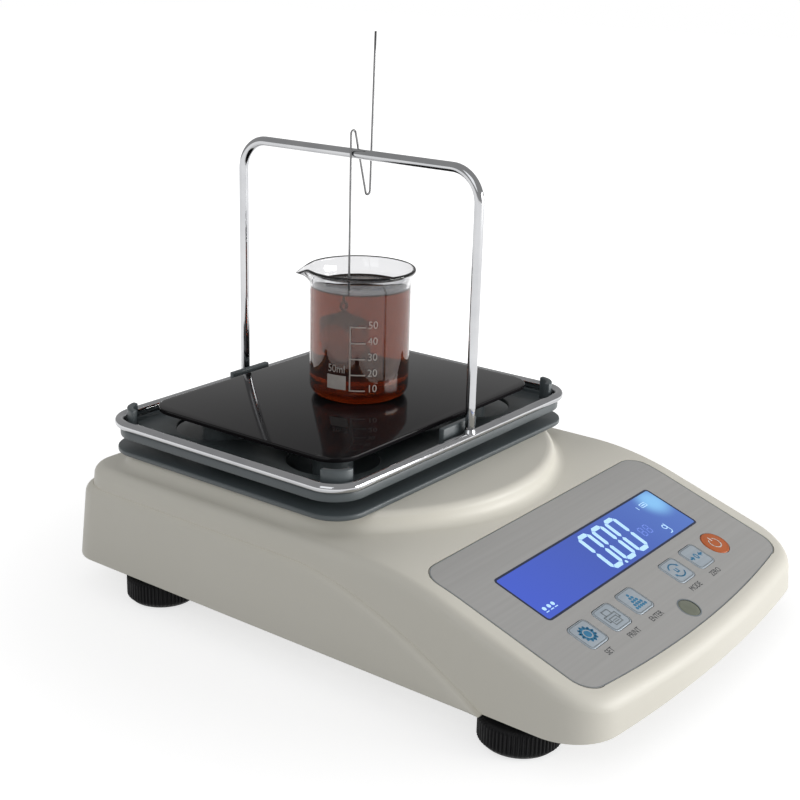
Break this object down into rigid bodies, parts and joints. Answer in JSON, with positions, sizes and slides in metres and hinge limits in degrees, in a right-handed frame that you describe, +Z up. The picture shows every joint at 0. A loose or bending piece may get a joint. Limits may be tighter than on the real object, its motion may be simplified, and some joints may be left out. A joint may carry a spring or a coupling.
{
  "type": "benchtop density meter",
  "caption": "Benchtop liquid density meter: a balance body with a sloping display panel, a wire arch carrying a hanging sinker, and a beaker on a fixed plate.",
  "frame": {"origin": "centre of the bounding box on the bench, under the feet", "axes": "+X to the operator's right, +Y to the rear, +Z up"},
  "size_m": [0.182, 0.255, 0.2264],
  "materials": {
    "cream_plastic": "fine moulded texture",
    "silver_overlay": "brushed silver print",
    "window": "clear window over a blue display",
    "lcd": "liquid crystal module",
    "circuit_board": "solder mask",
    "silver_key": "satin",
    "orange_key": "satin",
    "black_plastic": "moulded",
    "level_glass": "tinted",
    "ribbon": "flat cable",
    "aluminium": "machined",
    "steel": "plated",
    "chrome": "polished wire",
    "grey_metal": "satin grey paint",
    "black_gloss": "polished",
    "clear_glass": "clear",
    "brass": "turned"
  },
  "bodies": {
    "housing": {"housing_top": "cream_plastic", "housing_base": "cream_plastic", "control_overlay": "silver_overlay", "display_window": "window", "lcd_module": "lcd", "display_board": "circuit_board", "main_board": "circuit_board", "key_switches": "black_plastic", "power_jack": "black_plastic", "level_window": "level_glass", "level_vial": "level_glass", "ribbon_cable": "ribbon", "load_cell": "aluminium", "housing_screws": "steel", "board_screws": "steel", "main_board_screws": "steel", "cell_spacer": "steel", "cell_pad": "steel", "cell_screws": "steel", "overload_stop": "steel", "plate_screws": "steel", "jack_nut": "steel", "serial_port": "steel", "port_screws": "steel", "lower_plate": "grey_metal", "support_posts": "grey_metal", "foot_inserts": "brass"},
    "set_key": {"key_set": "silver_key"},
    "print_key": {"key_print": "silver_key"},
    "enter_key": {"key_enter": "silver_key"},
    "mode_key": {"key_mode": "silver_key"},
    "zero_key": {"key_zero": "silver_key"},
    "power_key": {"key_power": "orange_key"},
    "receptor": {"pan_arm": "aluminium", "pan_stem": "aluminium", "pan_cross": "aluminium", "cross_screw": "steel", "arm_screws": "steel"},
    "pan": {"tray": "grey_metal", "frame_clips": "grey_metal", "frame_ring": "chrome", "frame_arch": "chrome"},
    "hanger": {"hook_wire": "steel", "sinker": "clear_glass", "sinker_eye": "steel"},
    "sample_stand": {"sample_plate": "black_gloss"},
    "beaker": {"beaker": "clear_glass"},
    "stud_1": {"foot_stud_1": "steel"},
    "wheel_1": {"foot_wheel_1": "black_plastic"},
    "stud_2": {"foot_stud_2": "steel"},
    "wheel_2": {"foot_wheel_2": "black_plastic"},
    "stud_3": {"foot_stud_3": "steel"},
    "wheel_3": {"foot_wheel_3": "black_plastic"},
    "stud_4": {"foot_stud_4": "steel"},
    "wheel_4": {"foot_wheel_4": "black_plastic"}
  },
  "joints": [
    {"name": "set_key_press", "type": "slide", "parent": "housing", "child": "set_key", "axis": [0, 0.3173, -0.9483], "range_m": [0, 0.0004], "stiffness_N_per_m": 500, "springref_m": -0.001},
    {"name": "print_key_press", "type": "slide", "parent": "housing", "child": "print_key", "axis": [0, 0.3173, -0.9483], "range_m": [0, 0.0004], "stiffness_N_per_m": 500, "springref_m": -0.001},
    {"name": "enter_key_press", "type": "slide", "parent": "housing", "child": "enter_key", "axis": [0, 0.3173, -0.9483], "range_m": [0, 0.0004], "stiffness_N_per_m": 500, "springref_m": -0.001},
    {"name": "mode_key_press", "type": "slide", "parent": "housing", "child": "mode_key", "axis": [0, 0.3173, -0.9483], "range_m": [0, 0.0004], "stiffness_N_per_m": 500, "springref_m": -0.001},
    {"name": "zero_key_press", "type": "slide", "parent": "housing", "child": "zero_key", "axis": [0, 0.3173, -0.9483], "range_m": [0, 0.0004], "stiffness_N_per_m": 500, "springref_m": -0.001},
    {"name": "power_key_press", "type": "slide", "parent": "housing", "child": "power_key", "axis": [0, 0.3173, -0.9483], "range_m": [0, 0.0004], "stiffness_N_per_m": 500, "springref_m": -0.001},
    {"name": "weighing_travel", "type": "slide", "parent": "housing", "child": "receptor", "axis": [0, 0, 1], "range_m": [-0.0002, 0], "stiffness_N_per_m": 20000, "springref_m": 0.0005},
    {"name": "pan_lift", "type": "slide", "parent": "receptor", "child": "pan", "axis": [0, 0, 1], "range_m": [0, 0.005]},
    {"name": "hanger_lift", "type": "slide", "parent": "pan", "child": "hanger", "axis": [0, 0, 1], "range_m": [0, 0.05]},
    {"name": "sample_plate_lift", "type": "slide", "parent": "housing", "child": "sample_stand", "axis": [0, 0, 1], "range_m": [0, 0.006]},
    {"name": "beaker_lift", "type": "slide", "parent": "sample_stand", "child": "beaker", "axis": [0, 0, 1], "range_m": [0, 0.006]},
    {"name": "foot_1_height", "type": "slide", "parent": "housing", "child": "stud_1", "axis": [0, 0, 1], "range_m": [-0.004, 0.0015]},
    {"name": "foot_1_turn", "type": "hinge", "parent": "stud_1", "child": "wheel_1", "pos_m": [-0.0755, -0.0885, 0], "axis": [0, 0, 1], "range_deg": [-1450, 550]},
    {"name": "foot_2_height", "type": "slide", "parent": "housing", "child": "stud_2", "axis": [0, 0, 1], "range_m": [-0.004, 0.0015]},
    {"name": "foot_2_turn", "type": "hinge", "parent": "stud_2", "child": "wheel_2", "pos_m": [0.0755, -0.0885, 0], "axis": [0, 0, 1], "range_deg": [-1450, 550]},
    {"name": "foot_3_height", "type": "slide", "parent": "housing", "child": "stud_3", "axis": [0, 0, 1], "range_m": [-0.004, 0.0015]},
    {"name": "foot_3_turn", "type": "hinge", "parent": "stud_3", "child": "wheel_3", "pos_m": [-0.0755, 0.0865, 0], "axis": [0, 0, 1], "range_deg": [-1450, 550]},
    {"name": "foot_4_height", "type": "slide", "parent": "housing", "child": "stud_4", "axis": [0, 0, 1], "range_m": [-0.004, 0.0015]},
    {"name": "foot_4_turn", "type": "hinge", "parent": "stud_4", "child": "wheel_4", "pos_m": [0.0755, 0.0865, 0], "axis": [0, 0, 1], "range_deg": [-1450, 550]}
  ],
  "couplings": [
    {"joint": "foot_1_turn", "follows": "foot_1_height", "rad_per_m": 6283.2},
    {"joint": "foot_2_turn", "follows": "foot_2_height", "rad_per_m": 6283.2},
    {"joint": "foot_3_turn", "follows": "foot_3_height", "rad_per_m": 6283.2},
    {"joint": "foot_4_turn", "follows": "foot_4_height", "rad_per_m": 6283.2}
  ]
}
